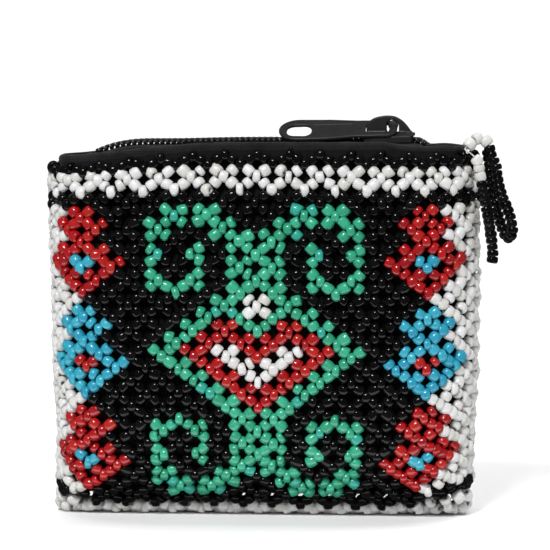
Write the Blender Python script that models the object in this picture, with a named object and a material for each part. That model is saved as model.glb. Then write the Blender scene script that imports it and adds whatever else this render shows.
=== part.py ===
"""Small zip purse with a netted seed-bead cover.

A soft fabric pouch stands inside a sleeve netted from glass seed beads, which
is one flexible shell about a bead thick. A coil zip closes the mouth, and two
short strings of beads hang from a knot at the right top corner.

Frame: X is the width, Y the depth with the front at -Y, Z is up, and the
origin is the centre of the flat strip that the purse stands on.
Sizes below are in millimetres; M turns them into metres.
"""

import math

import bmesh
import bpy
import numpy as np
from mathutils import Matrix, Vector

M = 0.001

# ---- driving dimensions, mm ------------------------------------------------
BEAD_LAYER = 2.6          # thickness of the netted bead layer
CLEAR = 0.3               # gap kept between touching pieces
LINING = 0.6              # thickness of the pouch fabric
MOUTH_HALF_DEPTH = 7.6    # outer half-depth at the mouth
TOP_ROW, LAST_ROW = -3.4, 26.9
RING_STEPS = (12, 9)      # facets round each end, and along each face
FOOT_LIFT = 0.9           # the rounded ends lift this much, so it stands on a rectangle

CHAIN_TOP = 83.2          # top face of the closed zip chain
COIL_THICK = 1.3
COIL_HALF = 1.95          # half-width of the closed chain
SLOT_HALF = 0.35          # the slider's post runs in this slot
TOOTH_PITCH = 1.25
TAPE_THICK = 0.5
CHAIN_LEFT, CHAIN_RIGHT = -37.5, 38.0
STRAIGHT_LEFT, STRAIGHT_RIGHT = -24.0, 34.4

SLIDER_LEFT, SLIDER_RIGHT = 22.0, 32.3
SLIDER_HALF = 2.95
ARCH_HALF = 0.75

HINGE = (28.6, 0.0, CHAIN_TOP + 2.5)   # axis of the pull tab, along Y
TAB_ROLL = 28.0
TAB_THICK = 0.75
TAB_SHIFT = -0.93

STRING_R = 1.3            # radius of a bead string
THREAD_R = 0.25
KNOT = (45.1, -7.0, 80.5)

# Lean of the front panel (degrees, + faces down) and netting row pitch, both
# against the row number counted from the first row below the white border.
LEAN = [(-3.6, -13), (0, -10.5), (4, -8), (8, -5), (12, -2), (15, 0), (18, 2),
        (20, 7), (22, 19), (24, 33), (25, 40), (26, 47), (27, 56)]
ROW_PITCH = [(-3.6, 2.93), (0, 2.9), (2, 2.78), (10, 2.78), (16, 2.84), (27, 2.84)]
# Half-width of the purse against height.
HALF_WIDTH = [(0, 45.3), (3, 46.0), (8, 46.3), (18, 46.2), (30, 46.8), (45, 47.0),
              (60, 47.1), (70, 47.4), (90, 47.4)]


def table(rows, x):
    xs, ys = zip(*rows)
    return float(np.interp(x, xs, ys))


def smooth(t):
    t = min(max(t, 0.0), 1.0)
    return t * t * (3 - 2 * t)


def droop(x, z):
    """How far the soft top corners hang below the straight zip."""
    at_left = 3.0 * smooth((-7 - x) / 42)
    at_right = 0.8 * smooth((x - 38) / 8)
    return (at_left + at_right) * (0.22 * smooth((z - 35) / 30) + 0.78 * smooth((z - 73) / 9))


def front_profile():
    """(row, y, z, lean) down the middle of the front, by integrating the lean."""
    step = 0.1
    count = int(round((LAST_ROW - TOP_ROW) / step))
    y, z = -MOUTH_HALF_DEPTH, 0.0
    out = [(TOP_ROW, y, z, table(LEAN, TOP_ROW))]
    for i in range(count):
        row = TOP_ROW + (i + 0.5) * step
        lean = math.radians(table(LEAN, row))
        run = step * table(ROW_PITCH, row)
        y += run * math.sin(lean)
        z -= run * math.cos(lean)
        out.append((TOP_ROW + (i + 1) * step, y, z, table(LEAN, TOP_ROW + (i + 1) * step)))
    low = out[-1][2]
    return [(r, yy, zz - low, a) for r, yy, zz, a in out]


PROFILE = front_profile()


def section(inset, rows):
    """(half-depth, height) at the given rows of the surface that lies inset mm inside the outer one."""
    found = []
    table_rows = [p[0] for p in PROFILE]
    for row in rows:
        y = float(np.interp(row, table_rows, [p[1] for p in PROFILE]))
        z = float(np.interp(row, table_rows, [p[2] for p in PROFILE]))
        lean = math.radians(float(np.interp(row, table_rows, [p[3] for p in PROFILE])))
        depth = -y - inset * math.cos(lean)
        height = z + inset * math.sin(lean)
        if inset > 0 and (height < inset + 0.4 or depth < 1.2):
            continue
        found.append((depth, height))
    if inset > 0:
        # the inner floor is flat and parallel to the base
        depth = found[-1][0] - 0.5
        found.append((max(depth, 1.0), inset))
    else:
        found[-1] = (found[-1][0], 0.0)
    return found


def stadium(half_width, half_depth, arc, flat):
    """Points round a stadium: arc steps round each end and flat steps along each face."""
    reach = half_width - half_depth
    points = []
    for side in (1, -1):
        for i in range(arc + 1):
            turn = math.pi * i / arc
            points.append((side * (reach + half_depth * math.sin(turn)),
                           side * half_depth * math.cos(turn)))
        for i in range(1, flat):
            points.append((side * reach * (1 - 2 * i / flat), -side * half_depth))
    return points


def ring(depth, height, inset, steps):
    half = table(HALF_WIDTH, height) - inset
    return [(x, y, height - droop(x, height)) for x, y in stadium(half, depth, *steps)]


# ---- scene helpers ---------------------------------------------------------
for old in list(bpy.data.objects):
    bpy.data.objects.remove(old, do_unlink=True)

parts = bpy.data.collections.new("netted_bead_purse")
cutters = bpy.data.collections.new("cutters")
bpy.context.scene.collection.children.link(parts)
bpy.context.scene.collection.children.link(cutters)


def material(name, colour, roughness, metallic=0.0, coat=0.0):
    mat = bpy.data.materials.new(name)
    mat.use_nodes = True
    shader = mat.node_tree.nodes["Principled BSDF"]
    shader.inputs["Base Color"].default_value = (*colour, 1.0)
    shader.inputs["Roughness"].default_value = roughness
    shader.inputs["Metallic"].default_value = metallic
    shader.inputs["Coat Weight"].default_value = coat
    return mat


def finish(bm, name, mat, origin=(0, 0, 0), collection=parts, sharp=40):
    """A mesh object in metres with its origin at the given point, from a mesh in millimetres."""
    bmesh.ops.recalc_face_normals(bm, faces=bm.faces)
    bmesh.ops.translate(bm, verts=bm.verts, vec=-Vector(origin))
    bmesh.ops.scale(bm, verts=bm.verts, vec=(M, M, M))
    mesh = bpy.data.meshes.new(name)
    bm.to_mesh(mesh)
    bm.free()
    if mat is not None:
        mesh.materials.append(mat)
    mesh.shade_smooth()
    mesh.set_sharp_from_angle(angle=math.radians(sharp))
    obj = bpy.data.objects.new(name, mesh)
    obj.location = Vector(origin) * M
    collection.objects.link(obj)
    if collection is cutters:
        obj.hide_render = True
        obj.display_type = "WIRE"
    return obj


def boolean(obj, other, operation="DIFFERENCE"):
    mod = obj.modifiers.new(other.name, "BOOLEAN")
    mod.operation = operation
    mod.solver = "EXACT"
    mod.object = other


def stand(bm, loop):
    """The base: a flat rectangle, and a fan up to each rounded end, which is lifted clear."""
    arc = RING_STEPS[0]
    half = len(loop) // 2
    rectangle = []
    for start in (0, half):
        end = [loop[start + i] for i in range(arc + 1)]
        for v in end[1:-1]:
            v.co.z += FOOT_LIFT
        middle = arc // 2
        for i in range(1, middle):
            bm.faces.new((end[0], end[i], end[i + 1]))
        bm.faces.new((end[0], end[middle], end[-1]))
        for i in range(middle, arc - 1):
            bm.faces.new((end[-1], end[i], end[i + 1]))
        rectangle += [end[0], end[-1]] + [loop[start + i] for i in range(arc + 1, half)]
    bm.faces.new(rectangle)


def loft(name, mat, outer, inner, stands=False):
    """An open-mouthed shell: outer rings from the mouth down, inner rings from the floor up."""
    bm = bmesh.new()
    loops = [[bm.verts.new(p) for p in r] for r in outer]
    loops_in = [[bm.verts.new(p) for p in r] for r in inner]
    chain = loops + [None] + loops_in[::-1]
    for a, b in zip(chain, chain[1:]):
        if a is None or b is None:
            continue
        for i in range(len(a)):
            j = (i + 1) % len(a)
            bm.faces.new((a[i], b[i], b[j], a[j]))
    if stands:
        stand(bm, loops[-1])
    else:
        bm.faces.new(loops[-1])
    bm.faces.new(loops_in[-1])
    top_in, top_out = loops_in[0], loops[0]
    for i in range(len(top_in)):
        j = (i + 1) % len(top_in)
        bm.faces.new((top_in[i], top_out[i], top_out[j], top_in[j]))
    return finish(bm, name, mat)


def prism(outline, depth, along):
    """A closed outline in a plane, extruded by depth. along is the extrusion vector's unit axis."""
    bm = bmesh.new()
    face = bm.faces.new([bm.verts.new(p) for p in outline])
    made = bmesh.ops.extrude_face_region(bm, geom=[face])
    moved = [v for v in made["geom"] if isinstance(v, bmesh.types.BMVert)]
    bmesh.ops.translate(bm, verts=moved, vec=Vector(along) * depth)
    return bm


# ---- materials -------------------------------------------------------------
glass_black = material("glass_black", (0.012, 0.012, 0.013), 0.12, coat=0.6)
glass_white = material("glass_white", (0.80, 0.80, 0.77), 0.22, coat=0.4)
fabric_black = material("fabric_black", (0.012, 0.011, 0.012), 0.9)
tape_black = material("tape_black", (0.014, 0.013, 0.014), 0.85)
coil_black = material("coil_black", (0.014, 0.014, 0.014), 0.4)
slider_black = material("slider_black", (0.02, 0.02, 0.02), 0.38, metallic=0.6)
tab_black = material("tab_black", (0.03, 0.03, 0.03), 0.42, metallic=0.6)
thread_white = material("thread_white", (0.75, 0.75, 0.72), 0.6)

# ---- netted bead cover -----------------------------------------------------
cover_rows = [-3.4, -1, 2, 5, 8, 11, 14, 17, 19, 20.5, 22, 23.3, 24.5, 25.7, 26.9]
outer = [ring(d, h, 0.0, RING_STEPS) for d, h in section(0.0, cover_rows)]
inner = [ring(d, h, BEAD_LAYER, RING_STEPS) for d, h in section(BEAD_LAYER, cover_rows[:-1])]
bead_cover = loft("bead_cover", glass_black, outer, inner, stands=True)

# ---- fabric pouch ----------------------------------------------------------
pouch_rows = [-3.4, -1, 2, 5, 8, 11, 14, 17, 19, 20.5, 22, 23.3, 24.5, 25.7]
gap = BEAD_LAYER + CLEAR + 0.1
outer = [ring(d, h, gap, RING_STEPS) for d, h in section(gap, pouch_rows)]
inner = [ring(d, h, gap + LINING, RING_STEPS) for d, h in section(gap + LINING, pouch_rows)]
fabric_pouch = loft("fabric_pouch", fabric_black, outer, inner)


# ---- zip tapes -------------------------------------------------------------
def chain_drop(x):
    """The chain runs straight where the slider travels and dips into the corners past that."""
    left = 3.6 * (max(0.0, STRAIGHT_LEFT - x) / 13.5) ** 1.5
    right = 2.4 * (max(0.0, x - STRAIGHT_RIGHT) / 3.6) ** 1.3
    return left + right


TAPE_Z = CHAIN_TOP - COIL_THICK - 0.2 - TAPE_THICK / 2
POUCH_IN = gap + LINING + CLEAR
MOUTH = section(POUCH_IN, [-3.1])[0][0]


def tape(name, side):
    """A flat strip beside the teeth that folds down and lies against the pouch's inside."""
    flat = table(HALF_WIDTH, 80) - POUCH_IN - MOUTH
    bm = bmesh.new()
    loops = []
    for x in np.linspace(-41.5, 42.0, 38):
        past = max(0.0, abs(x) - flat)
        reach = math.sqrt(max(MOUTH * MOUTH - past * past, 1.0)) - TAPE_THICK / 2
        dip = min(1.05 * chain_drop(x), droop(x, 82) + 2.8)
        low = droop(x, 76)
        fold = min(reach, 3.72)
        middle = [
            (SLOT_HALF, TAPE_Z - dip),
            (fold - 0.75, TAPE_Z - dip),
            (fold - 0.15, TAPE_Z - 0.3 - dip),
            (fold, TAPE_Z - 1.1 - dip),
            (fold + 0.05, TAPE_Z - 2.2 - max(dip - 0.6, 0) * 0.9),
            (fold + 0.9 * (reach > 3), 74.6 - low),
        ]
        above, below = [], []
        for k, (y, z) in enumerate(middle):
            before, after = middle[max(k - 1, 0)], middle[min(k + 1, len(middle) - 1)]
            way = Vector((after[0] - before[0], after[1] - before[1])).normalized()
            out = Vector((-way.y, way.x)) * TAPE_THICK / 2
            above.append((x, side * (y + out.x), z + out.y))
            below.append((x, side * (y - out.x), z - out.y))
        loops.append([bm.verts.new(p) for p in above + below[::-1]])
    for a, b in zip(loops, loops[1:]):
        for i in range(len(a)):
            j = (i + 1) % len(a)
            bm.faces.new((a[i], b[i], b[j], a[j]))
    bm.faces.new(loops[0])
    bm.faces.new(loops[-1])
    return finish(bm, name, tape_black, sharp=60)


zip_tape_front = tape("zip_tape_front", -1)
zip_tape_back = tape("zip_tape_back", 1)


# ---- coil rows -------------------------------------------------------------
def coil(name, side, phase):
    """One row of coil teeth: a toothed strip whose teeth point at the other row."""
    outline = [(CHAIN_LEFT, COIL_HALF), (CHAIN_LEFT, 1.05)]
    x = CHAIN_LEFT + 0.35 + phase
    while x + 0.75 < CHAIN_RIGHT:
        outline += [(x, 1.05), (x + 0.12, SLOT_HALF), (x + 0.55, SLOT_HALF), (x + 0.67, 1.05)]
        x += TOOTH_PITCH
    outline += [(CHAIN_RIGHT, 1.05), (CHAIN_RIGHT, COIL_HALF)]
    # points along the straight edge, so that the ends can dip
    count = 30
    for i in range(1, count):
        t = i / count
        outline.append((CHAIN_RIGHT + (CHAIN_LEFT - CHAIN_RIGHT) * t, COIL_HALF))
    low = CHAIN_TOP - COIL_THICK
    bm = prism([(px, side * py, low) for px, py in outline], COIL_THICK, (0, 0, 1))
    bmesh.ops.triangulate(bm, faces=bm.faces)
    for vert in bm.verts:
        vert.co.z -= chain_drop(vert.co.x)
    return finish(bm, name, coil_black, sharp=30)


zip_coil_front = coil("zip_coil_front", -1, 0.0)
zip_coil_back = coil("zip_coil_back", 1, TOOTH_PITCH / 2)


# ---- end stops -------------------------------------------------------------
def stop(name, x0, x1):
    middle = (x0 + x1) / 2
    edge = CHAIN_LEFT if middle < 0 else CHAIN_RIGHT
    bm = bmesh.new()
    bmesh.ops.create_cube(bm, size=1.0)
    bmesh.ops.scale(bm, verts=bm.verts, vec=(x1 - x0, 2.9, 1.3))
    bmesh.ops.bevel(bm, geom=bm.edges[:], offset=0.25, segments=2, affect="EDGES", profile=0.5)
    bmesh.ops.translate(bm, verts=bm.verts,
                        vec=(middle, 0, CHAIN_TOP - 0.55 - chain_drop(edge)))
    return finish(bm, name, slider_black)


zip_stop_left = stop("zip_stop_left", CHAIN_LEFT - 1.5, CHAIN_LEFT - 0.3)
zip_stop_right = stop("zip_stop_right", CHAIN_RIGHT + 0.3, CHAIN_RIGHT + 1.5)

# ---- slider ----------------------------------------------------------------
Z = CHAIN_TOP
# The upper plate is a channel with a roof-shaped top; its lips stop above the tape.
channel = [(-SLIDER_HALF, Z - 1.2), (-SLIDER_HALF, Z + 0.2), (-0.9, Z + 1.25), (0.9, Z + 1.25),
           (SLIDER_HALF, Z + 0.2), (SLIDER_HALF, Z - 1.2), (2.25, Z - 1.2), (2.25, Z + 0.25),
           (-2.25, Z + 0.25), (-2.25, Z - 1.2)]
bm = prism([(SLIDER_LEFT, y, z) for y, z in channel], SLIDER_RIGHT - SLIDER_LEFT, (1, 0, 0))
slider_body = finish(bm, "slider_body", slider_black, origin=(27.0, 0, Z), sharp=35)

bm = bmesh.new()
bmesh.ops.create_cube(bm, size=1.0)
bmesh.ops.scale(bm, verts=bm.verts, vec=(9.4, 5.7, 0.85))
bmesh.ops.bevel(bm, geom=bm.edges[:], offset=0.22, segments=2, affect="EDGES", profile=0.5)
bmesh.ops.translate(bm, verts=bm.verts, vec=(27.1, 0, Z - 2.68))
lower_plate = finish(bm, "slider_lower_plate", slider_black, collection=cutters)

bm = bmesh.new()
bmesh.ops.create_cube(bm, size=1.0)
bmesh.ops.scale(bm, verts=bm.verts, vec=(2.4, 0.3, 3.4))
bmesh.ops.translate(bm, verts=bm.verts, vec=(30.2, 0, Z - 0.9))
post = finish(bm, "slider_post", slider_black, collection=cutters)

# The bridge that carries the pull tab: a bar arched along X.
arch_out = [(22.3, 0.9), (22.4, 1.9), (23.2, 3.2), (24.8, 4.25), (26.9, 4.6), (28.9, 4.4),
            (30.5, 3.55), (31.5, 2.45), (32.0, 1.5), (32.25, 0.9)]
arch_in = [(30.35, 0.9), (30.35, 1.6), (30.25, 2.5), (29.8, 3.2), (28.8, 3.68), (26.9, 3.78),
           (25.3, 3.45), (24.1, 2.7), (23.5, 1.8), (23.4, 0.9)]
bm = prism([(x, -ARCH_HALF, Z + z) for x, z in arch_out + arch_in], 2 * ARCH_HALF, (0, 1, 0))
arch = finish(bm, "slider_bridge", slider_black, collection=cutters)

for other in (lower_plate, post, arch):
    boolean(slider_body, other, "UNION")

# ---- pull tab --------------------------------------------------------------
# Drawn flat with X towards its hinged end, then rolled about X and hung on the bridge.
TAB_LENGTH, RING_HALF, TIP_HALF = 25.0, 2.9, 3.55


def tab_outline():
    side = []
    for i in range(5):                       # rounded ring end
        t = math.radians(90 * i / 4)
        side.append((0.5 - 1.9 * (1 - math.sin(t)), RING_HALF - 1.9 * (1 - math.cos(t)), ))
    side = [(0.5 - 1.9 + 1.9 * math.cos(math.radians(a)), RING_HALF - 1.9 + 1.9 * math.sin(math.radians(a)))
            for a in (0, 22, 45, 68, 90)]
    side.append((-8.0, RING_HALF + 0.1))
    side.append((-14.0, TIP_HALF - 0.15))
    for i in range(8):                       # broad rounded tip
        t = math.radians(90 * i / 7)
        side.append((-TAB_LENGTH + 4.4 - 4.4 * math.sin(t), TIP_HALF * math.cos(t) if i < 7 else 0.0))
    upper = side[:-1]
    lower = [(x, -y) for x, y in upper[::-1]]
    return upper + [side[-1]] + lower


def rounded_slot(x0, x1, half, radius, taper=0.0):
    """A rounded rectangle from x0 to x1; taper narrows its x0 end."""
    out = []
    for cx, sx, turn in ((x1 - radius, 1, 0), (x0 + radius, -1, 90)):
        part = []
        for a in (0, 30, 60, 90):
            t = math.radians(a if sx > 0 else 90 - a)
            h = half - (taper if sx < 0 else 0)
            part.append((cx + sx * radius * math.cos(t), h - radius + radius * math.sin(t)))
        out += part
    return out + [(x, -y) for x, y in out[::-1]]


def flat_piece(name, outline, z0, depth, collection=cutters):
    bm = prism([(x, y + TAB_SHIFT, z0) for x, y in outline], depth, (0, 0, 1))
    obj = finish(bm, name, tab_black, collection=collection)
    obj.location = Vector(HINGE) * M
    obj.rotation_euler = (math.radians(TAB_ROLL), 0, 0)
    return obj


pull_tab = flat_piece("pull_tab", tab_outline(), -TAB_THICK / 2, TAB_THICK, parts)
ring_slot = flat_piece("ring_slot", rounded_slot(-7.6, -0.55, 1.95, 0.7), -1, 2)
tip_hole = flat_piece("tip_hole", rounded_slot(-23.4, -17.7, 2.25, 1.9, 0.3), -1, 2)
panel = flat_piece("tab_panel", rounded_slot(-16.4, -9.4, 2.35, 0.5), TAB_THICK / 2 - 0.15, 1)
for other in (ring_slot, tip_hole, panel):
    boolean(pull_tab, other)

# ---- bead strings at the corner --------------------------------------------
bm = bmesh.new()
bmesh.ops.create_icosphere(bm, subdivisions=2, radius=0.65)
bmesh.ops.scale(bm, verts=bm.verts, vec=(1.0, 0.9, 1.1))
bmesh.ops.translate(bm, verts=bm.verts, vec=KNOT)
string_knot = finish(bm, "string_knot", thread_white, origin=KNOT)


def through(points, step):
    """Points along a smooth curve through the given ones, about step apart. Each is (x, y, z, radius)."""
    p = np.array(points, float)
    out = [tuple(p[0])]
    for i in range(len(p) - 1):
        a, b = p[max(i - 1, 0)], p[i]
        c, d = p[i + 1], p[min(i + 2, len(p) - 1)]
        count = max(1, int(round(np.linalg.norm((c - b)[:3]) / step)))
        for k in range(1, count + 1):
            t = k / count
            q = 0.5 * (2 * b + (c - a) * t + (2 * a - 5 * b + 4 * c - d) * t * t
                       + (3 * b - a - 3 * c + d) * t ** 3)
            q[3] = b[3] + (c[3] - b[3]) * t
            out.append(tuple(q))
    return out


def string(name, mat, points, origin, step=2.4):
    """A string of beads as a tube, thin where only its thread shows."""
    data = bpy.data.curves.new(name, "CURVE")
    data.dimensions = "3D"
    data.bevel_depth = 1.0 * M
    data.bevel_resolution = 2
    data.use_fill_caps = True
    route = through(points, step)
    spline = data.splines.new("POLY")
    spline.points.add(len(route) - 1)
    for point, (x, y, z, r) in zip(spline.points, route):
        place = (Vector((x, y, z)) - Vector(origin)) * M
        point.co = (*place, 1.0)
        point.radius = r
    data.materials.append(mat)
    obj = bpy.data.objects.new(name, data)
    obj.location = Vector(origin) * M
    parts.objects.link(obj)
    return obj


R, T = STRING_R, THREAD_R
crest = [(45.15, -6.15, 81.3, T), (45.0, -5.3, 81.95, T), (44.9, -4.5, 82.45, 1.0),
         (45.3, -3.5, 82.85, R), (46.1, -3.15, 83.35, R), (47.1, -3.1, 83.6, R)]
string_crest = string("string_crest", glass_white, crest, KNOT, 1.2)

string_a = [(46.05, -6.5, 79.75, T), (46.5, -6.3, 79.3, T), (46.8, -6.2, 78.95, 1.1),
            (47.4, -6.1, 77.6, R), (47.85, -6.1, 74.9, R), (48.3, -6.1, 72.3, R),
            (48.9, -6.1, 69.5, R), (49.45, -6.1, 66.3, R), (50.0, -6.1, 63.1, R),
            (50.35, -6.1, 60.2, R), (50.5, -6.1, 57.9, R), (50.3, -6.1, 56.2, R)]
string_front = string("string_front", glass_black, string_a, KNOT)

LOOP_HINGE = (47.9, -3.1, 83.3)
string_b = [(48.6, -3.1, 82.95, R), (49.5, -3.1, 81.5, R), (50.1, -3.1, 79.4, R), (51.1, -3.1, 77, R),
            (51.5, -3.1, 74.2, R), (52.0, -3.1, 71.6, R), (52.95, -3.1, 69.1, R),
            (54.0, -3.1, 66.5, R), (54.6, -3.05, 64, R), (54.55, -2.6, 62.2, R), (54.0, -1.75, 61.3, R),
            (53.2, -0.75, 61.5, R), (52.45, -0.2, 62.9, R), (51.7, -0.1, 65, R), (51.0, -0.1, 67.4, R),
            (50.5, -0.1, 70, R), (50.0, -0.1, 72.6, R), (49.65, -0.1, 75.2, R), (49.5, -0.1, 77.4, R)]
string_loop = string("string_loop", glass_black, string_b, LOOP_HINGE, 1.7)

# ---- the joints, as parenting ----------------------------------------------
# The tab rides on the slider. Each piece's origin is on its own axis.
bpy.context.view_layer.update()
for child in (pull_tab, ring_slot, tip_hole, panel):
    keep = child.matrix_world.copy()
    child.parent = slider_body
    child.matrix_parent_inverse = slider_body.matrix_world.inverted()
    child.matrix_world = keep
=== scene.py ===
"""Looks of a small zip purse with a netted seed-bead cover.

Every bead of the net is its own small lathe form, threaded on a lattice that
follows the cover's surface. Sizes below are in millimetres unless they say
otherwise; M turns them into metres.

Frame: X is the width, Y the depth with the front at -Y, Z is up, and the
origin is the centre of the flat strip that the purse stands on.
"""

import math

import bmesh
import bpy
import numpy as np
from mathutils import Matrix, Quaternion, Vector


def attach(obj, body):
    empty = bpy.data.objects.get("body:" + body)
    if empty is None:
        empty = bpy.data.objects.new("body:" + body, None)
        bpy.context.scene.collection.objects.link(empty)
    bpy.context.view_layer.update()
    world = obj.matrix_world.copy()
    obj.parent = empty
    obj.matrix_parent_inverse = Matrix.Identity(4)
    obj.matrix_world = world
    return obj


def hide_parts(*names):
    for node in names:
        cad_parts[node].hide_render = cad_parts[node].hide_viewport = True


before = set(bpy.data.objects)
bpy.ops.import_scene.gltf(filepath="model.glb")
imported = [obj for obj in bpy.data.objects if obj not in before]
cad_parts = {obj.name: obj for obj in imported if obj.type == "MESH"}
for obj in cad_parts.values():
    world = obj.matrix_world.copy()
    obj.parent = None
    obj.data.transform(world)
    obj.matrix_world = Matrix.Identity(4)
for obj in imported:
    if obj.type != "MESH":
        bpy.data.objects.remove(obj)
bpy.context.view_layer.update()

M = 0.001
rng = np.random.default_rng(41)
scene = bpy.context.scene

# ---- camera ----------------------------------------------------------------
AZIMUTH, ELEVATION, DISTANCE = math.radians(6.0), math.radians(6.0), 750.0
TARGET = Vector((2.4, 0.0, 52.75))
ROLL = math.radians(-0.45)
away = Vector((math.sin(AZIMUTH) * math.cos(ELEVATION),
               -math.cos(AZIMUTH) * math.cos(ELEVATION), math.sin(ELEVATION)))
camera_data = bpy.data.cameras.new("camera")
camera_data.sensor_width = 36.0
camera_data.lens = 36.0 * DISTANCE / 121.0
camera_data.clip_start, camera_data.clip_end = 0.02, 20.0
camera = bpy.data.objects.new("camera", camera_data)
camera.location = (TARGET + away * DISTANCE) * M
camera.rotation_mode = "QUATERNION"
camera.rotation_quaternion = (-away).to_track_quat("-Z", "Y") @ Quaternion((0, 0, 1), ROLL)
scene.collection.objects.link(camera)
scene.camera = camera

# ---- the cover's surface, as in the CAD ------------------------------------
LEAN = [(-3.6, -13), (0, -10.5), (4, -8), (8, -5), (12, -2), (15, 0), (18, 2),
        (20, 7), (22, 19), (24, 33), (25, 40), (26, 47), (27, 56)]
ROW_PITCH = [(-3.6, 2.93), (0, 2.9), (2, 2.78), (10, 2.78), (16, 2.84), (27, 2.84)]
HALF_WIDTH = [(0, 45.3), (3, 46.0), (8, 46.3), (18, 46.2), (30, 46.8), (45, 47.0),
              (60, 47.1), (70, 47.4), (90, 47.4)]
CHAIN_TOP = 83.2
CHAIN_LEFT, CHAIN_RIGHT = -37.5, 38.0
STRAIGHT_LEFT, STRAIGHT_RIGHT = -24.0, 34.4
HINGE = (28.6, 0.0, CHAIN_TOP + 2.5)
KNOT = (45.1, -7.0, 80.5)


def table(rows, x):
    xs, ys = zip(*rows)
    return float(np.interp(x, xs, ys))


def smooth(t):
    t = min(max(t, 0.0), 1.0)
    return t * t * (3 - 2 * t)


def droop(x, z):
    at_left = 3.0 * smooth((-7 - x) / 42)
    at_right = 0.8 * smooth((x - 38) / 8)
    return (at_left + at_right) * (0.22 * smooth((z - 35) / 30) + 0.78 * smooth((z - 73) / 9))


def chain_drop(x):
    """How far the chain lies below its straight run, with a slight sag towards each end."""
    left = 2.5 * (max(0.0, STRAIGHT_LEFT - x) / 13.5) ** 2.5
    right = 2.4 * (max(0.0, x - STRAIGHT_RIGHT) / 3.6) ** 1.3
    sag = 0.18 + 0.28 * smooth((-2 - x) / 20) + 0.25 * smooth((x - 32.5) / 3)
    return left + right + sag


def front_profile():
    step, top, last = 0.1, -3.4, 26.9
    y, z = -7.6, 0.0
    out = [(top, y, z, table(LEAN, top))]
    for i in range(int(round((last - top) / step))):
        row = top + (i + 0.5) * step
        lean = math.radians(table(LEAN, row))
        run = step * table(ROW_PITCH, row)
        y += run * math.sin(lean)
        z -= run * math.cos(lean)
        out.append((top + (i + 1) * step, y, z, table(LEAN, top + (i + 1) * step)))
    low = out[-1][2]
    return np.array([(r, yy, zz - low, a) for r, yy, zz, a in out])


PROFILE = front_profile()


def wall(row, inset):
    """(half-depth, height) at a row on the surface that lies inset inside the outer one."""
    y, z, lean = (float(np.interp(row, PROFILE[:, 0], PROFILE[:, k])) for k in (1, 2, 3))
    lean = math.radians(lean)
    return -y - inset * math.cos(lean), z + inset * math.sin(lean)


def on_stadium(half_width, half_depth, s):
    """(x, y) at arc length s round a stadium from the middle of its front, to the right."""
    reach = half_width - half_depth
    around = 4 * reach + 2 * math.pi * half_depth
    s = (s + around / 2) % around - around / 2
    side, s = (1 if s >= 0 else -1), abs(s)
    if s <= reach:
        return side * s, -half_depth
    turn = (s - reach) / half_depth
    if turn <= math.pi:
        return side * (reach + half_depth * math.sin(turn)), -half_depth * math.cos(turn)
    return side * (reach - (s - reach - math.pi * half_depth)), half_depth


# ---- mesh helpers ----------------------------------------------------------
def mesh_object(name, points, faces, material=None, sharp=None, tones=None):
    """A mesh object in metres, from points in millimetres."""
    mesh = bpy.data.meshes.new(name)
    faces = faces.tolist() if isinstance(faces, np.ndarray) else faces
    mesh.from_pydata((np.asarray(points, float) * M).tolist(), [], faces)
    if tones is not None:
        for key, values in tones.items():
            mesh.attributes.new(key, "FLOAT", "POINT").data.foreach_set(
                "value", np.asarray(values, np.float32))
    mesh.update()
    if material is not None:
        mesh.materials.append(material)
    mesh.shade_smooth()
    if sharp is not None:
        mesh.set_sharp_from_angle(angle=math.radians(sharp))
    obj = bpy.data.objects.new(name, mesh)
    scene.collection.objects.link(obj)
    return obj


def curve_through(points, step):
    """A smooth curve through points, sampled about step apart."""
    p = np.array(points, float)
    out = [p[0]]
    for i in range(len(p) - 1):
        a, b, c, d = p[max(i - 1, 0)], p[i], p[i + 1], p[min(i + 2, len(p) - 1)]
        count = max(1, int(round(np.linalg.norm((c - b)[:3]) / step)))
        for k in range(1, count + 1):
            t = k / count
            out.append(0.5 * (2 * b + (c - a) * t + (2 * a - 5 * b + 4 * c - d) * t * t
                              + (3 * b - a - 3 * c + d) * t ** 3))
    return np.array(out)


def along(points):
    """Arc length at each point of a polyline."""
    return np.concatenate([[0], np.cumsum(np.linalg.norm(np.diff(points, axis=0), axis=1))])


def tube(points, radius, sides=6, closed=False, squash=1.0):
    """(points, faces) of a tube along a polyline. radius may vary along it."""
    p = np.asarray(points, float)
    n = len(p)
    radius = np.broadcast_to(np.asarray(radius, float), (n,))
    if closed:
        way = np.roll(p, -1, 0) - np.roll(p, 1, 0)
    else:
        way = np.gradient(p, axis=0)
    way /= np.linalg.norm(way, axis=1)[:, None] + 1e-12
    side = np.zeros_like(p)
    start = np.cross(way[0], (0, 0, 1.0))
    if np.linalg.norm(start) < 1e-3:
        start = np.cross(way[0], (0, 1.0, 0))
    side[0] = start / np.linalg.norm(start)
    for i in range(1, n):
        s = side[i - 1] - way[i] * (side[i - 1] @ way[i])
        side[i] = s / (np.linalg.norm(s) + 1e-12)
    up = np.cross(side, way)
    turn = 2 * math.pi * np.arange(sides) / sides
    rim = (side[:, None, :] * np.cos(turn)[None, :, None]
           + up[:, None, :] * np.sin(turn)[None, :, None] * squash) * radius[:, None, None]
    verts = (p[:, None, :] + rim).reshape(-1, 3)
    rings = n if closed else n - 1
    i = np.arange(rings)[:, None] * sides
    j = ((np.arange(rings)[:, None] + 1) % n) * sides
    k = np.arange(sides)[None, :]
    k2 = (k + 1) % sides
    faces = np.stack([i + k, i + k2, j + k2, j + k], -1).reshape(-1, 4).tolist()
    if not closed:
        faces.append(list(range(sides))[::-1])
        faces.append([(n - 1) * sides + q for q in range(sides)])
    return verts, faces


def join(pieces):
    """One (points, faces) from several."""
    points, faces, start = [], [], 0
    for p, f in pieces:
        points.append(p)
        faces += [[i + start for i in face] for face in f]
        start += len(p)
    return np.concatenate(points), faces


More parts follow.
